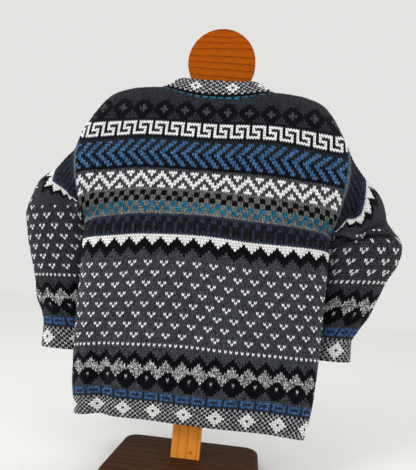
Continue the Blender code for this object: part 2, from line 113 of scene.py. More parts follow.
def table(names, *rows):
    """A table with named columns."""
    return dict(zip(names, np.array(rows, float).T))


# Distance down a panel from the shoulder seam, in rows: how far it drops and stands out.
HANG = table(
    ("rows", "drop", "depth"),
    (0, 0.0, 0.0), (1, 0.0003, 0.006), (2, 0.0018, 0.0115),
    (3, 0.0045, 0.0168), (4, 0.008, 0.0215), (6, 0.0165, 0.03),
    (8, 0.0255, 0.0375), (14, 0.061, 0.053), (22, 0.1085, 0.0615),
    (34, 0.173, 0.066), (54, 0.2805, 0.067), (112, 0.5937, 0.062),
    (134, 0.7125, 0.056),
)
# Half of the body's width at each row.
SIDE = table(
    ("row", "half_width"),
    (0, 0.25), (5, 0.255), (14, 0.262), (36, 0.2665), (81, 0.267),
    (92, 0.275), (104, 0.282), (112, 0.28), (118, 0.277),
)
# Drop of the shoulder seam, from the side of the neck to the armhole.
CREST = table(
    ("across", "drop"),
    (0.0, 0.0), (0.43, 0.0), (0.6, 0.004), (0.72, 0.012), (0.8, 0.021),
    (0.87, 0.036), (0.92, 0.054), (0.96, 0.075), (1.0, 0.097),
)
# Soft vertical folds of the body: where they are, and how far the cloth goes in.
FOLD_COLUMNS = ("x", "low_row", "high_row", "width", "depth")
BACK_FOLDS = table(
    FOLD_COLUMNS,
    (-0.19, -30, 40, 0.024, 0.022),
    (-0.228, -20, 62, 0.018, -0.007),
    (-0.085, -20, 46, 0.04, 0.005),
    (0.055, -20, 56, 0.045, -0.005),
    (0.17, -20, 50, 0.034, 0.006),
    (-0.205, 60, 118, 0.03, 0.006),
    (0.205, 56, 112, 0.03, 0.007),
)
FRONT_FOLDS = table(
    FOLD_COLUMNS,
    (0.175, -25, 48, 0.026, 0.014),
    (0.06, -20, 70, 0.04, -0.006),
    (-0.07, -20, 52, 0.036, 0.007),
    (-0.185, -20, 44, 0.03, 0.009),
    (0.0, 66, 112, 0.05, 0.006),
)
# A sleeve from the armhole (0) to the cuff (1): its outer and inner edge, and its depth.
SLEEVE_COLUMNS = ("along", "outer_x", "outer_y", "outer_z", "inner_x", "inner_y", "inner_z", "depth")
SLEEVE_LEFT = table(
    SLEEVE_COLUMNS,
    (0.0, 0.28, 0.0, 0.706, 0.267, 0.0, 0.501, 0.066),
    (0.086, 0.2936, 0.004, 0.66, 0.272, 0.008, 0.5, 0.064),
    (0.15, 0.3166, 0.008, 0.634, 0.2745, 0.018, 0.497, 0.063),
    (0.21, 0.3375, 0.011, 0.608, 0.275, 0.028, 0.493, 0.062),
    (0.305, 0.3797, 0.018, 0.575, 0.274, 0.04, 0.484, 0.06),
    (0.37, 0.3965, 0.026, 0.543, 0.272, 0.047, 0.474, 0.059),
    (0.458, 0.4127, 0.038, 0.498, 0.269, 0.056, 0.458, 0.056),
    (0.53, 0.412, 0.05, 0.46, 0.267, 0.06, 0.434, 0.053),
    (0.633, 0.4029, 0.062, 0.403, 0.266, 0.066, 0.386, 0.046),
    (0.721, 0.3934, 0.069, 0.353, 0.266, 0.07, 0.342, 0.041),
    (0.8, 0.3865, 0.073, 0.311, 0.268, 0.074, 0.304, 0.036),
    (0.851, 0.3735, 0.075, 0.283, 0.266, 0.076, 0.278, 0.03),
    (0.91, 0.3668, 0.076, 0.25, 0.264, 0.077, 0.247, 0.025),
    (1.0, 0.3687, 0.078, 0.199, 0.264, 0.078, 0.2, 0.024),
)
SLEEVE_RIGHT = table(
    SLEEVE_COLUMNS,
    (0.0, 0.28, 0.0, 0.706, 0.267, 0.0, 0.501, 0.066),
    (0.087, 0.296, 0.003, 0.668, 0.272, 0.008, 0.5, 0.065),
    (0.185, 0.3233, 0.008, 0.631, 0.2745, 0.022, 0.496, 0.064),
    (0.283, 0.3532, 0.014, 0.596, 0.274, 0.036, 0.491, 0.063),
    (0.37, 0.376, 0.021, 0.56, 0.2725, 0.046, 0.485, 0.061),
    (0.457, 0.398, 0.031, 0.526, 0.271, 0.056, 0.478, 0.058),
    (0.511, 0.4149, 0.039, 0.507, 0.27, 0.059, 0.47, 0.055),
    (0.56, 0.4193, 0.045, 0.482, 0.269, 0.062, 0.456, 0.052),
    (0.6, 0.417, 0.052, 0.459, 0.268, 0.064, 0.44, 0.05),
    (0.674, 0.4, 0.062, 0.419, 0.267, 0.068, 0.404, 0.046),
    (0.739, 0.3899, 0.068, 0.383, 0.266, 0.071, 0.37, 0.041),
    (0.804, 0.3765, 0.072, 0.346, 0.264, 0.073, 0.335, 0.036),
    (0.87, 0.3555, 0.075, 0.31, 0.26, 0.075, 0.301, 0.031),
    (0.925, 0.3415, 0.076, 0.279, 0.256, 0.077, 0.273, 0.026),
    (1.0, 0.3435, 0.078, 0.235, 0.255, 0.078, 0.234, 0.025),
)
# Creases of a sleeve: along it, around it (0.25 is the back), their reach and how far they stand out.
CREASE_COLUMNS = ("along", "around", "reach_along", "reach_around", "height")
CREASES_LEFT = table(
    CREASE_COLUMNS,
    (0.24, 0.36, 0.045, 0.13, -0.008),
    (0.4, 0.3, 0.06, 0.2, 0.005),
    (0.7, 0.2, 0.05, 0.16, -0.004),
    (0.3, 0.66, 0.05, 0.16, -0.008),
    (0.52, 0.72, 0.06, 0.18, 0.005),
)
CREASES_RIGHT = table(
    CREASE_COLUMNS,
    (0.31, 0.2, 0.06, 0.2, 0.009),
    (0.405, 0.24, 0.032, 0.2, -0.013),
    (0.55, 0.12, 0.06, 0.16, 0.005),
    (0.76, 0.14, 0.05, 0.14, -0.005),
    (0.34, 0.7, 0.05, 0.18, -0.009),
)
# How many rows lower the back's bands hang than even rows would, across the back at six rows.
DROOP_ROWS = (14, 30, 61, 73, 90, 112)
DROOP_END = 124  # none at the hem, and none from this row up
DROOP_FADE = 10  # rows over which it fades below the neck
DROOP = table(
    ("across", *DROOP_ROWS),
    (-1.0, 2.5, 4.5, 4.5, 4.2, 4.3, 3.7),
    (-0.7, 2.3, 2.8, 4.0, 3.0, 3.0, 1.2),
    (-0.4, 2.3, 1.6, 1.6, 1.5, 1.6, 0.0),
    (0.0, 2.0, 0.6, 1.0, 0.8, 1.4, 0.1),
    (0.4, 1.2, 1.0, 1.8, 1.8, 2.0, -0.6),
    (1.0, 0.8, 0.9, 1.0, 1.0, 3.3, 3.0),
)


# Curves through the tables

ARC_POINTS = 721


def along(columns, name, at):
    """A smooth curve through a table's column that never overshoots it."""
    x, y = list(columns.values())[0], columns[name]
    width, slope = np.diff(x), np.diff(y) / np.diff(x)
    inner = slope[:-1] * slope[1:]
    total = np.where(inner > 0, slope[:-1] + slope[1:], 1.0)
    lean = np.concatenate([slope[:1], np.where(inner > 0, 2 * inner / total, 0.0), slope[-1:]])
    at = np.asarray(at, float)
    i = np.clip(np.searchsorted(x, at) - 1, 0, len(x) - 2)
    t = (at - x[i]) / width[i]
    rise = (3 - 2 * t) * t * t
    start, end = t * (1 - t) ** 2, t * t * (t - 1)
    return y[i] + (y[i + 1] - y[i]) * rise + width[i] * (start * lean[i] + end * lean[i + 1])


def ease(t):
    """From 0 to 1, level at both ends."""
    t = np.clip(t, 0.0, 1.0)
    return t * t * (3 - 2 * t)


def even_angles(ratio, last):
    """A function from a share of an ellipse's arc to its angle, for an ellipse of that ratio."""
    angle = np.linspace(0.0, last, ARC_POINTS)
    length = np.hypot(np.cos(angle), ratio * np.sin(angle))
    done = np.concatenate([[0.0], np.cumsum((length[1:] + length[:-1]) / 2)])
    return lambda share: np.interp(share, done / done[-1], angle)


PANEL_ANGLE = even_angles(0.25, math.pi / 2)
# A sleeve's angle is counted from its outer edge, where the oval is narrow.
SLEEVE_ANGLE = even_angles(2.0, math.pi)


# The body


def crest(across):
    """Height of the shoulder seam."""
    return NECK_POINT - along(CREST, "drop", np.abs(across))


def top_row(across):
    """The last row of a panel at the shoulder seam."""
    return ROWS - (NECK_POINT - crest(across)) / SLOPE_ROW


def neck_row(across, side):
    """The row where the neck is cut, or the shoulder seam's row beside the neck."""
    share = np.clip(np.abs(across) / NECK_SIDE, 0.0, 1.0)
    scoop = BACK_NECK_ROWS * (1 - share**2.4) if side < 0 else FRONT_NECK_ROWS * (1 - share**2.6) ** 0.75
    return np.where(share < 1, ROWS - scoop, top_row(across))


def folds(x, row, columns):
    """How far the cloth goes in at a place on a panel."""
    total = np.zeros(np.broadcast(x, row).shape)
    for fold_x, low, high, width, depth in zip(*columns.values()):
        lengthwise = np.clip((row - low) / (high - low), 0.0, 1.0)
        total = total + depth * np.exp(-(((x - fold_x) / width) ** 2)) * np.sin(math.pi * lengthwise)
    return total


def body_point(across, row, side):
    """A point of a panel's outside: across is -1 to 1, side is -1 on the back and 1 on the front."""
    below = top_row(across) - row
    angle = np.sign(across) * PANEL_ANGLE(np.abs(across))
    opened = ease((row - UNDERARM) / OPENING_ROWS)
    depth = along(HANG, "depth", below) * (FRONT_FULLNESS if side > 0 else 1.0)
    x = along(SIDE, "half_width", row) * ((1 - opened) * np.sin(angle) + opened * across)
    flat = np.sqrt(np.clip((row - UNDERARM) / OPENING_ROWS, 0.0, 1.0))
    flat = np.where(flat < 1, flat * (1.5 - 0.5 * flat), 1.0)
    round_y = flat + (1 - flat) * np.cos(angle)
    inward = folds(x, row, BACK_FOLDS if side < 0 else FRONT_FOLDS) * (1 - np.abs(across) ** 6)
    y = side * (depth * round_y - inward * np.minimum(1.0, below / STEADY_ROWS))
    edge = np.abs(across)
    dip = UNDERARM_DIP * edge**8 * np.exp(-(((row - UNDERARM) / UNDERARM_DIP_ROWS) ** 2))
    hem = HEM_DIP * edge**3 * (1 - ease(row / HEM_DIP_ROWS))
    z = crest(across) - along(HANG, "drop", below) - dip - hem
    return np.stack(np.broadcast_arrays(x, y, z), -1)


def unit(v):
    return v / np.maximum(np.linalg.norm(v, axis=-1, keepdims=True), 1e-12)


def lengths_to(points):
    """The length of a line up to each of its points."""
    return np.concatenate([[0], np.cumsum(np.linalg.norm(np.diff(points, axis=0), axis=1))])


def droop(across, row):
    """How many rows lower the back's bands hang than even rows would."""
    across, row = np.broadcast_arrays(across, row)
    stations = (0, *DROOP_ROWS, DROOP_END)
    still = np.zeros(across.shape)
    sags = [still, *[along(DROOP, name, across) for name in DROOP_ROWS], still]
    total = still
    for low, high, first, second in zip(stations, stations[1:], sags, sags[1:]):
        share = ease((row - low) / (high - low))
        here = (row >= low) & (row < high)
        total = np.where(here, first + (second - first) * share, total)
    return total * np.clip((neck_row(across, -1) - row) / DROOP_FADE, 0, 1)


def body_normal(across, row, side):
    step = 0.15
    top = neck_row(across, side)
    left, right = np.clip(across - EDGE, -1, 1), np.clip(across + EDGE, -1, 1)
    low, high = np.maximum(row - step, -1.0), np.minimum(row + step, top)
    sideways = body_point(right, row, side) - body_point(left, row, side)
    upwards = body_point(across, high, side) - body_point(across, low, side)
    return unit(np.cross(sideways, upwards)) * (-side)


def armhole(row, side, sign):
    """The direction out of the loop that the armhole's seam makes."""
    edge = np.full(row.shape, float(sign))
    step = 0.05
    last = top_row(np.float64(1.0))
    before = body_point(edge, np.maximum(row - step, UNDERARM), side)
    after = body_point(edge, np.minimum(row + step, last), side)
    run = after - before
    out = np.stack([np.zeros(row.shape), side * run[..., 2], -side * run[..., 1]], -1)
    out[row <= UNDERARM] = (0.0, 0.0, -1.0)
    out[row >= last] = (0.0, 0.0, 1.0)
    return unit(out)


# The sleeves


def sleeve_frame(share, columns):
    """Middle of a sleeve's ring, half its width as a vector to the outer edge, and its depth."""
    outer, inner = [
        np.stack([along(columns, f"{edge}_{axis}", share) for axis in "xyz"], -1)
        for edge in ("outer", "inner")
    ]
    middle = (outer + inner) / 2 + np.array([0.0, 0.0, BASE_HEIGHT])
    half = (outer - inner) / 2
    return middle, half, along(columns, "depth", share)


def hole_row(from_top):
    """The body's row at a place of the armhole, which is 0 at its top and 1 underneath."""
    last = top_row(np.float64(1.0))
    return last - (last - UNDERARM) * from_top


def sleeve_point(share, around, sign):
    """A point of a sleeve's outside; around is 0 at its top, 0.25 on the back and 0.5 underneath."""
    columns, creases = (SLEEVE_LEFT, CREASES_LEFT) if sign < 0 else (SLEEVE_RIGHT, CREASES_RIGHT)
    share, around = np.broadcast_arrays(share, around)
    back = np.where(around <= 0.5, -1.0, 1.0)
    from_top = np.minimum(around, 1 - around) * 2
    row = hole_row(from_top)
    edge = np.ones_like(row)
    hole = np.where((back < 0)[..., None], body_point(edge, row, -1), body_point(edge, row, 1))
    middle, half, depth = sleeve_frame(share, columns)
    start, start_half, start_depth = sleeve_frame(np.zeros(1), columns)
    up = (hole[..., 2] - start[0, 2]) / start_half[0, 2]
    out = -hole[..., 1] / start_depth[0]
    spare = hole[..., 0] - (start[0, 0] + up * start_half[0, 0])
    angle = SLEEVE_ANGLE(from_top)
    rounder = ease(share / ROUNDING)
    up = (1 - rounder) * up + rounder * np.cos(angle)
    out = (1 - rounder) * out + rounder * -back * np.sin(angle)
    radial = up[..., None] * half
    radial = radial + np.stack([np.zeros_like(out), -out * depth, np.zeros_like(out)], -1)
    stand = np.full_like(share, WALL)
    for crease, centre, reach, width, height in zip(*creases.values()):
        turn = np.abs(around - centre)
        turn = np.minimum(turn, 1 - turn)
        stand = stand + height * np.exp(-(((share - crease) / reach) ** 2) - (turn / width) ** 2)
    stand = stand * ease(share / CREASE_START)
    point = middle + radial + unit(radial) * stand[..., None]
    point[..., 0] += spare * (1 - rounder)
    point[..., 0] *= sign
    return point


def sleeve_normal(share, around, sign):
    step = 0.004
    before, after = np.maximum(share - step, 0), np.minimum(share + step, 1)
    lengthwise = sleeve_point(after, around, sign) - sleeve_point(before, around, sign)
    turning = sleeve_point(share, (around + EDGE) % 1, sign) - sleeve_point(share, (around - EDGE) % 1, sign)
    return unit(np.cross(turning, lengthwise)) * sign


# The neckband


def neckband_top(point, across, side):
    """The band's free edge above a place on the neck: it leans in round the neck and stands up."""
    share = np.abs(across) / NECK_SIDE
    middle = 1 - share**2
    x = point[..., 0] - np.sign(across) * NECKBAND_LEAN[1] * share**2
    y = point[..., 1] - side * NECKBAND_LEAN[0] * middle
    rise = NECKBAND_RISE[1] + (NECKBAND_RISE[0] - NECKBAND_RISE[1]) * middle
    return np.stack([x, y, point[..., 2] + rise], -1)


# Charts. Each band is (first row, how far it is shifted, lines of stitches from the bottom up).

INKS = {
    "W": (232, 232, 231),  # natural white
    "w": (158, 159, 162),  # white, greyed as painted shade where it is half sunk
    "C": (62, 64, 70),  # charcoal heather
    "S": (52, 54, 60),  # charcoal of the sleeves: the same yarn as C, darkened as painted shade
    "c": (40, 42, 47),  # darker charcoal, near the neck; also painted shadow beside the line under a sleeve's fold
    "G": (66, 68, 73),  # charcoal, a little lighter
    "f": (44, 46, 54),  # charcoal, darkened as painted shade where it is sunk
    "K": (4, 5, 10),  # black
    "n": (13, 15, 27),  # navy, nearly black
    "N": (42, 48, 68),  # slate
    "d": (38, 41, 51),  # dark slate
    "L": (58, 94, 138),  # blue
    "B": (60, 97, 138),  # blue of the chevrons
    "T": (28, 102, 132),  # teal
    "b": (112, 110, 104),  # beige-grey
    "g": (100, 99, 97),  # mid-grey
    "E": (30, 33, 36),  # greenish charcoal
    "e": (20, 21, 24),  # soft black; also the painted shadow line under a sleeve's fold
    "M": (176, 177, 180),  # light marl, twisted with dark
}
DISC = ("CCKKKCCC", "CKKKKKCC", "KKKKKKKC", "KKKfKKKK", "KKKwKKKM", "MKKKKKMM", "MMKKKMMM")
DARK_DISC = ("ccKKKccc", "cKKKKKcc", "KKKGKKKc", "KKGGGKKK", "KKKGKKKc", "cKKKKKcc", "ccKKKccc")
MARL = ("MMMMMM", "KMMMMM", "KKMMMK", "KKKMKK", "CKKKKK", "CCKKKC", "CCCKCC")
TEETH = ("CCCKCC", "CCKKKC", "CKKKKK", "KKKWKK", "KKWWWK", "KWWWWW", "WWWWWW")
DEEP_TEETH = (*TEETH[:3], "KKKKKK", *TEETH[3:])
SLATE = ("NNNN", "NeNe", "Neee", "Neee", "Neee", "eNNe", "eNNe", "NNNN")
CHECKS = ("TTbb", "TTbb", "bbTT", "bbTT", "KKgg", "KKgg", "ggKK", "ggKK")
ZIGZAG = ("WCCWWWCC", "WWCCWCCW", "CWWCCCWW", "CCWWCWWC", "WCCWWWCC", "WWCCWCCW")
KEY = ("WWWWWn", "WnnnWn", "WnWWWn", "WnWnnn", "WnWWWW")
BOXES = ("LLLLLd", "LdddLd", "LLLLLd")
BODY_BANDS = (
    (9, 0, ("d",)),
    (10, 4, BOXES),
    (14, 7, DISC),
    (21, 2, MARL),
    (30, 0, ("WC",)),
    (65, 5, DEEP_TEETH),
    (73, 0, SLATE),
    (81, 0, ("b",)),
    (82, 0, CHECKS),
    (90, 0, ("g",)),
    (91, 5, ZIGZAG),
    (98, 0, ("K",)),
    (108, 0, ("E", "n")),
    (110, 3, KEY),
    (115, 0, ("n",)),
    (116, 4, DARK_DISC),
    (123, 0, ("c",) * (ROWS - 123)),
)
SLEEVE_BANDS = (
    (9, 0, ("d",)),
    (10, 4, BOXES),
    (14, 2, DISC),
    (21, 2, MARL),
    (30, 0, ("WC",)),
    (74, 5, TEETH),
    (81, 0, SLATE),
    (89, 0, ("b",)),
    (90, 0, ("TTbb", "TTbb")),
)
# Rows of the patterns that are worked out
LATTICE_ROWS, LATTICE_MIDDLE = 9, 4
SPRIG_START, BODY_SPRIG_END, SLEEVE_SPRIG_END = 33, 63, 71
CHEVRON_START, CHEVRON_MIDDLE, CHEVRON_END = 99, 103, 108


def lattice(column, row, size):
    """White flowers in a lattice of single stitches."""
    reach = abs((column + 6) % 12 - 6) + abs(row - LATTICE_MIDDLE)
    if reach <= size + 1:
        return "W" if 0 < reach <= size else "K"
    return "w" if (reach - size) % 2 == 0 else "K"


def sprigs(column, row):
    """A small V of white: one stitch, and one at each side of it in the row above."""
    step, up = divmod(row - SPRIG_START, 4)
    place = (column - (4 if step % 2 == 0 else 1)) % 6
    return "W" if (up == 0 and place == 0) or (up == 1 and place in (1, 5)) else "C"


def chevron(column, row):
    """Blue arrows that lie on their sides."""
    ground = "n" if row <= CHEVRON_MIDDLE else "E"
    return "B" if (column - abs(row - CHEVRON_MIDDLE)) % 4 < 2 else ground


def banded(bands, column, row):
    """A stitch's ink in the charted bands, with charcoal between them."""
    for first, shift, lines in reversed(bands):
        if first <= row < first + len(lines):
            line = lines[row - first]
            return line[(column - shift) % len(line)]
    return "C"


def body_ink(column, row):
    if row < LATTICE_ROWS:
        return lattice(column - 1, row, 3)
    if SPRIG_START <= row < BODY_SPRIG_END:
        return sprigs(column, row)
    if CHEVRON_START <= row < CHEVRON_END:
        return chevron(column, row)
    return banded(BODY_BANDS, column, row)


def sleeve_ink(column, row):
    if row < LATTICE_ROWS:
        return lattice(column, row, 3)
    in_sprigs = SPRIG_START <= row < SLEEVE_SPRIG_END
    ink = sprigs(column, row) if in_sprigs else banded(SLEEVE_BANDS, column, row)
    # The sleeves' plain charcoal is S: the body's yarn, darkened as painted shade.
    return "S" if ink == "C" else ink


def band_ink(column, row):
    return "K" if row == 0 else lattice(column, row, 2)


def linear(ink):
    """An ink's colour as the shader takes it."""
    value = np.array(INKS[ink]) / 255
    return np.where(value <= 0.04045, value / 12.92, ((value + 0.055) / 1.055) ** 2.4)


# Knitting


def add_object(name, data):
    obj = bpy.data.objects.new(name, data)
    bpy.context.scene.collection.objects.link(obj)
    return obj


def face_colours(ink_of, columns, rows, seed):
    """A colour for each face of each stitch: heathered wool, and a marl of two twisted strands."""
    rng = np.random.default_rng(seed)
    low, first = int(columns.min()), int(rows.min())
    lines = range(first, int(rows.max()) + 1)
    chart = [[ink_of(c, r) for r in lines] for c in range(low, int(columns.max()) + 1)]
    lookup = np.array([[linear(ink) for ink in line] for line in chart])
    marl = np.array([[ink == "M" for ink in line] for line in chart])
    i, j = columns - low, rows - first
    colour = lookup[i, j]
    pale = colour.mean(1, keepdims=True) > 0.5
    flecks = rng.normal(0.0, 1.0, (len(i), 1))
    colour = colour * (1 + flecks * np.where(pale, FLECKS_PALE, FLECKS_DARK)).clip(*FLECK_LIMITS)
    strand = marl[i, j] & (rng.random(len(i)) < STRAND_SHARE)
    colour[strand] = colour[strand] * STRAND_SHADE
    return colour


def make_piece(name, verts, faces, colours, maps, mat):
    """A mesh from vertices, polygons, a colour for each polygon and UV maps for each corner."""
    mesh = bpy.data.meshes.new(name)
    sizes = np.array([len(f) for f in faces])
    corners = np.concatenate(faces)
    mesh.vertices.add(len(verts))
    mesh.vertices.foreach_set("co", np.asarray(verts, np.float32).ravel())
    mesh.loops.add(len(corners))
    mesh.loops.foreach_set("vertex_index", corners.astype(np.int32))
    mesh.polygons.add(len(sizes))
    mesh.polygons.foreach_set("loop_start", (np.cumsum(sizes) - sizes).astype(np.int32))
    mesh.update(calc_edges=True)
    yarn = mesh.color_attributes.new("Yarn", "FLOAT_COLOR", "CORNER")
    rgba = np.concatenate([colours, np.ones((len(colours), 1))], 1).repeat(sizes, 0)
    yarn.data.foreach_set("color", rgba.astype(np.float32).ravel())
    for label, values in maps.items():
        layer = mesh.uv_layers.new(name=label)
        layer.data.foreach_set("uv", np.asarray(values, np.float32).ravel())
    mesh.polygons.foreach_set("use_smooth", np.ones(len(sizes), bool))
    mesh.materials.append(mat)
    obj = add_object(name, mesh)
    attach(obj, "root")
    return obj


# The order of a face's corners, as steps across and up a grid
OUTWARD = ((0, 0), (1, 0), (1, 1), (0, 1))
INWARD = ((0, 0), (0, 1), (1, 1), (1, 0))


class Knit:
    """Gathers a piece's vertices and polygons, with their colours and their places in two maps."""

    def __init__(self):
        self.verts, self.faces, self.colours, self.spots, self.plies = [], [], [], [], []
        self.count = 0

    def add_points(self, points):
        """Adds a grid of points, and gives the grid of their numbers."""
        numbers = self.count + np.arange(points[..., 0].size).reshape(points.shape[:-1])
        self.verts.append(points.reshape(-1, 3))
        self.count += numbers.size
        return numbers

    def add(self, quads, colours, spots, plies):
        """Quads with repeated corners become triangles, and those with fewer than three vanish."""
        for quad, colour, spot, ply in zip(quads.tolist(), colours, spots, plies):
            keep = [k for k in range(len(quad)) if quad[k] != quad[k - 1]]
            if len(keep) < 3 or len({quad[k] for k in keep}) < len(keep):
                continue
            self.faces.append([quad[k] for k in keep])
            self.colours.append(colour)
            self.spots.extend(spot[k] for k in keep)
            self.plies.extend(ply[k] for k in keep)

    def build(self, name, mat):
        verts = np.concatenate(self.verts)
        maps = {"OFBake": np.array(self.spots), "Ply": np.array(self.plies)}
        used, new = np.unique(np.concatenate(self.faces), return_inverse=True)
        sizes = np.cumsum([len(f) for f in self.faces])[:-1]
        faces = np.split(new, sizes)
        return make_piece(name, verts[used], faces, np.array(self.colours), maps, mat)


def stitch_lines(shape):
    """The lines of a piece's mesh: every quarter of a column, and every half of a row."""
    c0, c1, r0, r1 = shape
    return np.arange(4 * c0, 4 * c1 + 1), np.arange(2 * r0, 2 * r1 + 1)


def around_faces(grid, order):
    """The corners of every face of a grid, in that order."""
    wide, high = grid.shape[0] - 1, grid.shape[1] - 1
    corners = [grid[a : a + wide, b : b + high] for a, b in order]
    return np.stack(corners, 2).reshape(-1, 4, *grid.shape[2:])


def stop_at_top(index, row, top):
    """Past the top of its column, a vertex is the top's own vertex."""
    done = row >= top - TINY
    last = np.where(np.any(done, axis=1), np.argmax(done, axis=1), row.shape[1] - 1)
    steps = np.arange(row.shape[1])[None, :]
    return np.take_along_axis(index, np.minimum(steps, last[:, None]), 1)


def stitch_mesh(seed, shape, place, ends, tops, ink_of, wrapped):
    """Knits the outside of a piece, and gives its vertices as a grid.

    shape is (first column, last column, first row, last row). place(column, row) gives points and normals.
    ends(row) gives the first and last column of a row, and tops(column) the last row of a column.
    """
    c0, c1, r0, r1 = shape
    i, j = stitch_lines(shape)
    column, line = np.meshgrid(i / 4, j / 2, indexing="ij")
    row = line + np.array(SHEAR)[i % 4][:, None]
    if r0 == 0:
        row[:, 0] = 0.0
        row[:, 1] = 0.5
    top = tops(column)
    left, right = ends(line)
    row = np.clip(np.where((column <= left) | (column >= right), line, row), 0.0, top)
    column = np.clip(column, left, right)
    point, normal = place(column, row)
    rng = np.random.default_rng(seed)
    height = RELIEF * np.array(ACROSS)[i % 4][:, None] * np.array(LENGTHWISE)[j % 2][None, :]
    uneven = rng.normal(1.0, UNEVEN, height.shape).clip(*UNEVEN_LIMITS)
    uneven[:, [0, -1]] = 1.0
    height = height * uneven
    spacing = np.linalg.norm(np.diff(point, axis=1, append=point[:, -1:]), axis=-1)
    spacing[:, -1] = spacing[:, -2]
    height = height * np.clip(spacing / CROWDED, FLATTEST, 1.0)
    height = height * np.clip((top - row) / TOP_FADE, 0.0, 1.0) * np.where(row <= 0, 0.5, 1.0)
    height[(column <= left) | (column >= right)] = 0.0
    knit = Knit()
    index = stop_at_top(knit.add_points(point + normal * height[..., None]), row, top)
    # Past an end of its row, a vertex is the end's own vertex.
    first_i = np.argmin(np.where(column > left + TINY, 0, 1), axis=0) - 1
    last_i = len(i) - np.argmin(np.where(column[::-1] < right - TINY, 0, 1), axis=0)
    first_i, last_i = np.maximum(first_i, 0), np.minimum(last_i, len(i) - 1)
    reach = np.clip(np.arange(len(i))[:, None], first_i[None, :], last_i[None, :])
    index = np.take_along_axis(index, reach, 0)
    if wrapped:
        joined = index[-1][None, :]
        index = np.where(index == index[0][None, :], joined, index)
    face_column, face_row = np.meshgrid(i[:-1] // 4, j[:-1] // 2, indexing="ij")
    colours = face_colours(ink_of, face_column.ravel(), face_row.ravel(), seed + 1)
    u, v = (column - c0) / (c1 - c0), (row - r0) / (r1 - r0)
    spot = np.stack([MAP_LOW + OUTSIDE_WIDTH * u, MAP_LOW + MAP_HEIGHT * v], -1)
    ply = np.stack([np.broadcast_to((i / 2)[:, None], row.shape), line], -1)
    quads, spots, plies = [around_faces(grid, OUTWARD) for grid in (index, spot, ply)]
    knit.add(quads, colours, spots, plies)
    return knit, index


def add_inside(knit, inner, colours):
    """The faces of an inside, over a grid of its vertices."""
    u = np.linspace(INSIDE_AT, MAP_HIGH, inner.shape[0])
    v = np.linspace(MAP_LOW, MAP_HIGH, inner.shape[1])
    spots = around_faces(np.stack(np.meshgrid(u, v, indexing="ij"), -1), INWARD)
    knit.add(around_faces(inner, INWARD), colours, spots, spots * INSIDE_PLIES)


def lining(knit, shape, place, ends, tops):
    """The plain inside of a panel or of the neckband, whose vertices it gives as a grid."""
    i, j = stitch_lines(shape)
    i = i[::INSIDE_STEP]
    j = np.unique(np.append(j[::INSIDE_STEP], j[-1]))
    column, row = np.meshgrid(i / 4, j / 2, indexing="ij")
    top = tops(column)
    left, right = ends(row)
    column, row = np.clip(column, left, right), np.minimum(row, top)
    point, normal = place(column, row)
    inner = stop_at_top(knit.add_points(point - normal * WALL), row, top)
    rng = np.random.default_rng(INSIDE_SEED)
    faces = (len(i) - 1) * (len(j) - 1)
    dull = linear("C") * rng.normal(1.0, INSIDE_SPREAD, (faces, 1)).clip(*INSIDE_LIMITS)
    add_inside(knit, inner, dull)
    return inner


def rim(knit, outer, inner, flip):
    """A dark strip from an edge of the outside to the inside's, one polygon for each step of the inside."""
    steps = len(inner) - 1
    marks = np.round(np.linspace(0, len(outer) - 1, steps + 1)).astype(int)
    for k in range(steps):
        ring = list(outer[marks[k] : marks[k + 1] + 1]) + [inner[k + 1], inner[k]]
        ring = [v for n, v in enumerate(ring) if v != ring[n - 1]]
        if len(set(ring)) < 3 or len(set(ring)) < len(ring):
            continue
        if flip:
            ring = ring[::-1]
        knit.faces.append(ring)
        knit.colours.append(linear("K"))
        across = np.linspace(0, 1, len(ring))
        knit.spots.extend(
            (RIM_AT + RIM_WIDTH * t, RIM_LOW + RIM_HEIGHT * (k + t) / (steps + 1)) for t in across
        )
        knit.plies.extend((t, k) for t in across)


# The garment's pieces


def panel(name, side, rows, seed, mat):
    """Part of the back or of the front, from one row to another, or up to its top."""

    def share(column):
        return 2 * column / COLUMNS - 1

    def tops(column):
        return neck_row(share(column), side)

    def ends(row):
        return 0, COLUMNS

    def place(column, row):
        across = share(column)
        if side < 0:
            row = row - droop(across, row)
        point, normal = body_point(across, row, side), body_normal(across, row, side)
        edge = np.abs(across) >= 1 - TINY
        low, high = edge & (row <= UNDERARM), edge & (row > UNDERARM)
        point[..., 1] += np.where(low, side * SEAM / 2, 0.0)
        point[..., 0] -= np.where(high, np.sign(across) * SEAM / 2, 0.0)
        shoulder = (np.abs(across) >= NECK_SIDE) & (row >= neck_row(across, side) - 1e-6)
        point[..., 1] += np.where(shoulder, side * SEAM / 2, 0.0)
        normal[..., 1] = np.where(low | shoulder, 0.0, normal[..., 1])
        for sign in (-1, 1):
            here = high & (across * sign > 0)
            out = armhole(np.where(here, row, UNDERARM + 1.0), side, sign)
            normal = np.where(here[..., None], out, normal)
        normal = unit(normal)
        point[..., 0] += MIDDLE
        return point, normal

    shape = (0, COLUMNS, *rows)

    def ink(column, row):
        sewn = neck_row(share(column + 0.5), side) - row
        if abs(share(column + 0.5)) < NECK_SIDE and TEAL_ROWS[0] <= sewn < TEAL_ROWS[1]:
            return "T" if column % 3 < 2 else "K"
        return body_ink(column if side < 0 else COLUMNS - 1 - column, row)

    knit, index = stitch_mesh(seed, shape, place, ends, tops, ink, False)
    inner = lining(knit, shape, place, ends, tops)
    rim(knit, index[:, 0], inner[:, 0], True)
    rim(knit, index[:, -1], inner[:, -1], False)
    rim(knit, index[0], inner[0], False)
    rim(knit, index[-1], inner[-1], True)
    if side > 0:
        knit.faces = [f[::-1] for f in knit.faces]
    return knit.build(name, mat)


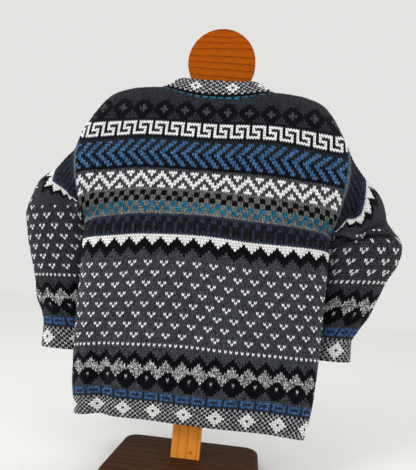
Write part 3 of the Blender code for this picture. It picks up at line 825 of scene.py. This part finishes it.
def sleeve_rows(sign):
    """Finds the share of a sleeve at a row: level rows from the cuff up to the fold, fanned out above it."""
    fold_height, fold_row, dots_share, _, longest = SLEEVE_FOLDS[sign]
    turns, steps = np.linspace(0, 1, TURNS + 1), np.linspace(0, 1, STEPS + 1)
    rows = np.linspace(0, SLEEVE_ROWS, FINE * SLEEVE_ROWS + 1)
    lookup = []
    for turn in turns:
        line = sleeve_point(steps, np.full(len(steps), turn % 1), sign)
        height = np.minimum.accumulate(line[:, 2] - line[:, 0] * SLEEVE_TILT)
        run = lengths_to(line)
        fold = BASE_HEIGHT + fold_height
        up = np.clip((height - height[-1]) / (fold - height[-1]), 0, 1)
        low_row = np.interp(up, (0, dots_share, 1), (0, DOTS_ROW, fold_row))
        start = np.interp(-fold, -height, run)
        slate = min(longest, SLATE_SHARE * start)
        points = min(POINTS_LENGTH, POINTS_SHARE * (start - slate))
        marks = (0, CHECKS_SHARE * slate, slate, slate + points, start)
        high_row = np.interp(run, marks, (*BAND_MARKS, fold_row))
        row = np.where(height < fold, low_row, high_row)
        row = np.minimum.accumulate(row - 1e-6 * np.arange(len(row)))
        lookup.append(np.interp(-rows, -row, steps))
    lookup = np.array(lookup)
    lookup[:, 0], lookup[:, -1] = 1.0, 0.0

    def share_at(around, row):
        a, r = (around % 1) * TURNS, np.clip(row, 0, SLEEVE_ROWS) * FINE
        k, m = np.minimum(a.astype(int), TURNS - 1), np.minimum(r.astype(int), len(rows) - 2)
        a, r = a - k, r - m
        first = lookup[k, m] * (1 - r) + lookup[k, m + 1] * r
        second = lookup[k + 1, m] * (1 - r) + lookup[k + 1, m + 1] * r
        return first * (1 - a) + second * a

    return share_at


def without_repeats(line):
    return line[np.concatenate([[True], line[1:] != line[:-1]])]


def sleeve(name, sign, seed, mat):
    """A sleeve knitted in the round, from the cuff up to the armhole."""

    def stitches(row):
        return np.interp(row, *SLEEVE_WIDENING)

    def ends(row):
        half = stitches(row) / 2
        return -half, half

    def tops(column):
        return SLEEVE_ROWS

    share_at = sleeve_rows(sign)
    _, fold_row, _, deep, _ = SLEEVE_FOLDS[sign]

    def fold(around, row):
        """The cloth above the fold hangs over the cloth below it, on the back."""
        on_back = np.clip(1 - np.abs(around - FOLD_MIDDLE) / FOLD_REACH, 0, 1) ** 0.5
        over, under = [
            height * np.exp(-(((row - fold_row - above) / reach) ** 2))
            for height, above, reach in (OVERHANG, TUCK)
        ]
        return deep * on_back * (over - under)

    def place(column, row):
        around = (column / stitches(row)) % 1
        share = share_at(around, row)
        point, normal = sleeve_point(share, around, sign), sleeve_normal(share, around, sign)
        sewn = row >= SLEEVE_ROWS - TINY
        seam = hole_row(np.minimum(around, 1 - around) * 2)
        out = np.where((around <= 0.5)[..., None], armhole(seam, -1, sign), armhole(seam, 1, sign))
        point = point + normal * fold(around, row)[..., None]
        normal = unit(np.where(sewn[..., None], out, normal))
        point[..., 0] += MIDDLE + np.where(sewn, sign * SEAM / 2, 0.0)
        return point, normal

    half = SLEEVE_STITCHES // 2
    column, row = np.meshgrid(np.arange(-half - 1, half + 2), np.arange(SLEEVE_ROWS + 1), indexing="ij")
    above, below = place(column, row + 0.5)[0], place(column, row - 0.5)[0]
    tucked = np.linalg.norm(above - below, axis=-1) < TUCKED
    # The painted shadow line under a deep fold waves by a row.
    wave = np.sin(4 * math.pi * column[:, 0] / SLEEVE_STITCHES)
    painted_shadow_line = np.round(fold_row - SHADOW_LINE_BELOW + wave)

    def ink(column, row):
        place_in_line = row - painted_shadow_line[column + half + 1]
        around = (column / stitches(row)) % 1
        # Painted shadow under a deep fold: soft black on its line, and darker charcoal on the rows beside
        # it.
        if deep > DEEP_FOLD and abs(place_in_line) <= 1 and SHADOW_LINE_AROUND[0] < around < SHADOW_LINE_AROUND[1]:
            return "e" if place_in_line == 0 else "c"
        if TUCKED_ROWS[0] <= row <= TUCKED_ROWS[1] and tucked[column + half + 1, row]:
            return "S"
        return sleeve_ink(column + 4 * sign, row)

    shape = (-half, half, 0, SLEEVE_ROWS)
    knit, index = stitch_mesh(seed, shape, place, ends, tops, ink, True)
    turns = np.arange(INSIDE_TURNS + 1) / INSIDE_TURNS - 0.5
    rows = np.linspace(0, SLEEVE_ROWS, INSIDE_ROWS + 1)
    turn, line = np.meshgrid(turns, rows, indexing="ij")
    point, normal = place(turn * stitches(line), line)
    inner = knit.add_points(point - normal * WALL)
    inner[-1] = inner[0]
    add_inside(knit, inner, np.tile(linear("C"), (INSIDE_TURNS * INSIDE_ROWS, 1)))
    rim(knit, without_repeats(index[:, 0]), inner[:, 0], True)
    rim(knit, without_repeats(index[:, -1]), inner[:, -1], False)
    if sign > 0:
        knit.faces = [f[::-1] for f in knit.faces]
    return knit.build(name, mat)


def neckband(name, seed, mat):
    """The band runs round the back from the left shoulder to the right, and back round the front."""
    there = np.linspace(-NECK_SIDE, NECK_SIDE, NECK_STEPS)
    back_again = np.linspace(NECK_SIDE, -NECK_SIDE, NECK_STEPS)
    across = np.concatenate([there, back_again[1:]])
    side = np.where(np.arange(len(across)) < NECK_STEPS, -1.0, 1.0)
    on_back = (side < 0)[:, None]
    back_row, front_row = neck_row(across, -1), neck_row(across, 1)
    edge = np.where(on_back, body_point(across, back_row, -1), body_point(across, front_row, 1))
    out = np.where(on_back, body_normal(across, back_row, -1), body_normal(across, front_row, 1))
    out[np.abs(across) > NECK_SIDE - TINY, 1] = 0.0
    out = unit(out)
    free = neckband_top(edge, across, side)
    run = lengths_to(edge)
    run = run / run[-1]

    def at(values, turn):
        return np.stack([np.interp(turn % 1, run, values[:, k]) for k in range(3)], -1)

    def base(turn, share):
        low, high = at(edge, turn), at(free, turn)
        gap = unit(high - low) * SEAM
        return low + gap + (high - low - gap) * share[..., None]

    def place(column, row):
        turn, share = column / BAND_STITCHES, row / BAND_ROWS
        step = 0.004
        point = base(turn, share)
        around = base(turn + step, share) - base(turn - step, share)
        up = base(turn, np.ones_like(share)) - base(turn, np.zeros_like(share))
        normal = unit(np.cross(around, up))
        normal = np.where((row <= TINY)[..., None], at(out, turn), normal)
        point[..., 0] += MIDDLE
        return point, unit(normal)

    def ends(row):
        return 0, BAND_STITCHES

    def tops(column):
        return BAND_ROWS

    shape = (0, BAND_STITCHES, 0, BAND_ROWS)
    knit, index = stitch_mesh(seed, shape, place, ends, tops, band_ink, True)
    inner = lining(knit, shape, place, ends, tops)
    rim(knit, index[:, 0], inner[:, 0], True)
    rim(knit, index[:, -1], inner[:, -1], False)
    return knit.build(name, mat)


# Materials


class Nodes:
    """A material's node tree, and short ways to add to it."""

    def __init__(self, name):
        self.material = bpy.data.materials.new(name)
        self.material.use_nodes = True
        self.tree = self.material.node_tree
        self.shader = self.tree.nodes["Principled BSDF"]

    def node(self, kind, **inputs):
        made = self.tree.nodes.new("ShaderNode" + kind)
        for key, value in inputs.items():
            self.feed(made, key.replace("_", " "), value)
        return made

    def coat(self, key, value):
        self.feed(self.shader, key, value)

    def feed(self, node, key, value):
        """Sets a value on a socket, or links a socket, or a node's first output, to it."""
        socket = node.inputs[key]
        if isinstance(value, bpy.types.Node):
            value = value.outputs[0]
        if isinstance(value, bpy.types.NodeSocket):
            self.tree.links.new(value, socket)
        else:
            socket.default_value = value

    def math(self, operation, a, b=0.0, c=0.0):
        made = self.node("Math")
        made.operation = operation
        for k, value in enumerate((a, b, c)):
            self.feed(made, k, value)
        return made.outputs[0]

    def times(self, a, b):
        return self.math("MULTIPLY", a, b)

    def mix(self, factor, a, b, blend="MIX"):
        made = self.node("Mix")
        made.data_type, made.blend_type = "RGBA", blend
        for key, value in ((0, factor), (6, a), (7, b)):
            self.feed(made, key, value)
        return made.outputs[2]

    def span(self, value, low, high, to_low=0.0, to_high=1.0):
        """Brings a value from one range to another."""
        made = self.node("MapRange")
        keys = ("Value", "From Min", "From Max", "To Min", "To Max")
        for key, item in zip(keys, (value, low, high, to_low, to_high)):
            self.feed(made, key, item)
        return made.outputs[0]


def wool():
    """Yarn in the colour of its stitch, with fibres, a twist and soft furrows; the furrows and the dips
    between stitches get painted shade.
    """
    n = Nodes("wool")
    yarn = n.node("VertexColor")
    yarn.layer_name = "Yarn"
    place = n.node("TexCoord").outputs["Object"]
    ply = n.node("UVMap")
    ply.uv_map = "Ply"
    fibre = n.node("TexNoise", Vector=place, Scale=700.0, Detail=3.0, Roughness=0.65)
    cloud = n.node("TexNoise", Vector=place, Scale=45.0, Detail=2.0)
    split = n.node("SeparateXYZ", Vector=ply)
    # Two strands twisted together: slanting furrows across each leg, in the bump and, as painted shade, a
    # little in the colour.
    slant = n.math("MULTIPLY_ADD", split.outputs[0], 1.2, n.times(split.outputs[1], 2.0))
    twist = n.math("SINE", n.times(slant, 2 * math.pi))
    shade = n.math("ADD", n.span(fibre, 0.25, 0.75, 0.62, 1.38), n.times(twist, 0.08))
    # Painted shade: the yarn's colour darkens where it dips between the legs and between the rows.
    leg, tall = [n.math("ABSOLUTE", n.math("SINE", n.times(split.outputs[k], math.pi))) for k in (0, 1)]
    dip = n.times(n.span(leg, 0.0, 0.8, 0.10, 1.2), n.span(tall, 0.0, 0.7, 0.38, 1.15))
    bright = n.node("SeparateColor", Color=yarn).outputs[1]
    dip = n.math("MAXIMUM", dip, n.times(bright, 0.45))
    shade = n.times(n.times(shade, dip), n.span(cloud, 0.3, 0.7, 0.93, 1.07))
    grey = n.node("CombineColor", Red=shade, Green=shade, Blue=shade)
    n.coat("Base Color", n.mix(1.0, yarn, grey, "MULTIPLY"))
    n.coat("Roughness", n.span(fibre, 0.3, 0.7, 0.82, 0.98))
    n.coat("Sheen Weight", 0.05)
    n.coat("Sheen Roughness", 0.5)
    n.coat("Specular IOR Level", 0.1)
    height = n.math("MULTIPLY_ADD", twist, 0.25, fibre)
    bump = n.node("Bump", Strength=0.55, Distance=0.0008, Height=height)
    n.coat("Normal", bump)
    return n.material


def timber(name, light, dark, direction, spacing, gloss, knots=(), bow=0.12):
    """Varnished wood: growth lines spaced along one axis, which bow, fine pores and a few knots."""
    n = Nodes(name)
    place = n.node("TexCoord").outputs["Object"]
    stretch = n.node("Mapping", Vector=place)
    # Lines bow slowly in the two directions that they lie in.
    scale = [1.0 if k == direction else (0.35 if k == 1 else bow) for k in range(3)]
    n.feed(stretch, "Scale", scale)
    drift = n.node("TexNoise", Vector=stretch, Scale=14.0, Detail=2.0, Roughness=0.5)
    axis = n.node("SeparateXYZ", Vector=place).outputs[direction]
    rings = n.math("MULTIPLY_ADD", drift, 1.6, n.math("DIVIDE", axis, spacing))
    late = n.math("POWER", n.span(n.math("FRACT", rings), 0.15, 1.0), 5.0)
    streak = n.node("TexNoise", Vector=stretch, Scale=260.0, Detail=4.0, Roughness=0.6)
    tone = n.math("ADD", n.times(late, 0.75), n.span(streak, 0.35, 0.75, 0.0, 0.35))
    for x, y, z, size in knots:
        away = n.node("VectorMath")
        away.operation = "DISTANCE"
        n.feed(away, 0, place)
        n.feed(away, 1, (x, y, z))
        tone = n.math("MAXIMUM", tone, n.span(away.outputs["Value"], size, size * 0.35))
    n.coat("Base Color", n.mix(tone, (*light, 1.0), (*dark, 1.0)))
    n.coat("Roughness", n.span(streak, 0.3, 0.7, gloss, gloss + 0.14))
    n.coat("Specular IOR Level", 0.03)
    bump = n.node("Bump", Strength=0.15, Distance=0.0004, Height=streak)
    n.coat("Normal", bump)
    return n.material


def wear(node, mat):
    """Gives a solid of the frame its material."""
    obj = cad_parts[node]
    obj.data.materials.clear()
    obj.data.materials.append(mat)


# Stage


def floor():
    mesh = bpy.data.meshes.new("floor")
    size = 9.0  # half of its side
    corners = [(x * size, y * size, 0) for x, y in ((-1, -1), (1, -1), (1, 1), (-1, 1))]
    mesh.from_pydata(corners, [], [(0, 1, 2, 3)])
    n = Nodes("floor")
    n.coat("Base Color", (0.97, 0.97, 0.96, 1.0))
    n.coat("Roughness", 0.9)
    mesh.materials.append(n.material)
    add_object("floor", mesh)


def area_light(name, place, aim, size, power):
    data = bpy.data.lights.new(name, "AREA")
    data.shape, data.size, data.energy = "DISK", size, power
    obj = add_object(name, data)
    obj.location = place
    way = np.array(aim) - np.array(place)
    flat = math.hypot(way[0], way[1])
    obj.rotation_euler = (math.atan2(flat, -way[2]), 0.0, math.atan2(way[1], way[0]) - math.pi / 2)


def lights():
    world = bpy.data.worlds.new("studio")
    bpy.context.scene.world = world
    world.use_nodes = True
    shade = world.node_tree.nodes["Background"]
    shade.inputs["Color"].default_value = (0.93, 0.93, 0.91, 1.0)
    shade.inputs["Strength"].default_value = 0.83
    area_light("key", (-1.3, -1.9, 2.0), (0, 0, 0.5), 1.1, 26.0)
    area_light("fill", (1.9, -1.5, 1.2), (0, 0, 0.5), 1.4, 9.0)


# The photograph's camera: its axis is level, it is rolled a little, and the horizon is below the middle.
FRAME_HEIGHT = 470  # pixels
SENSOR = 36.0  # mm
FOCAL = 500.0  # pixels
HORIZON = 58.0  # pixels below the middle
TURN = math.radians(5.5)  # round the stand, to its right
ROLL = math.radians(5.35)
DISTANCE = 1.085
EYE = (0.0048, 0.39)  # sideways, and above the floor


def camera():
    data = bpy.data.cameras.new("camera")
    data.sensor_fit, data.sensor_height = "VERTICAL", SENSOR
    data.lens = SENSOR * FOCAL / FRAME_HEIGHT
    data.shift_x = HORIZON * math.sin(ROLL) / FRAME_HEIGHT
    data.shift_y = HORIZON * math.cos(ROLL) / FRAME_HEIGHT
    obj = add_object("camera", data)
    eye = (EYE[0] + math.sin(TURN) * DISTANCE, -math.cos(TURN) * DISTANCE, EYE[1])
    forward = np.array([-math.sin(TURN), math.cos(TURN), 0.0])
    right = np.array([math.cos(TURN), math.sin(TURN), 0.0])
    up = np.array([0.0, 0.0, 1.0])
    across = right * math.cos(ROLL) + up * math.sin(ROLL)
    above = up * math.cos(ROLL) - right * math.sin(ROLL)
    place = np.eye(4)
    place[:3] = np.stack([across, above, -forward, eye], 1)
    obj.matrix_world = Matrix(place.tolist())
    bpy.context.scene.camera = obj


def main():
    bpy.context.scene.view_settings.view_transform = "Standard"
    camera()
    lights()
    floor()
    cloth = wool()
    for label, side, seed in (("back", -1, 11), ("front", 1, 21)):
        hem = panel(label + "_hem", side, (0, HEM_ROWS), seed, cloth)
        body = panel(label + "_panel", side, (HEM_ROWS, ROWS), seed + 2, cloth)
        for piece in (hem, body):
            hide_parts(label)
    for label, sign, seed in (("left", -1, 31), ("right", 1, 41)):
        arm = sleeve("sleeve_" + label + "_knit", sign, seed, cloth)
        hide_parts("sleeve_" + label)
    band = neckband("neckband_knit", 51, cloth)
    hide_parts("neckband")
    knot = (0.012, -0.011, 0.045, 0.006)  # its place and its size
    pine = timber("pine", (0.98, 0.37, 0.050), (0.56, 0.15, 0.015), 0, 0.021, 0.30, knots=(knot,))
    head = timber("pine_head", (0.39, 0.079, 0.001), (0.10, 0.012, 0.001), 2, 0.0145, 0.45, bow=0.22)
    slab = timber("walnut", (0.078, 0.031, 0.012), (0.022, 0.008, 0.003), 1, 0.03, 0.55)
    wear("stand_post", pine)
    wear("stand_shoulders", pine)
    wear("stand_head", head)
    wear("stand_base", slab)


main()
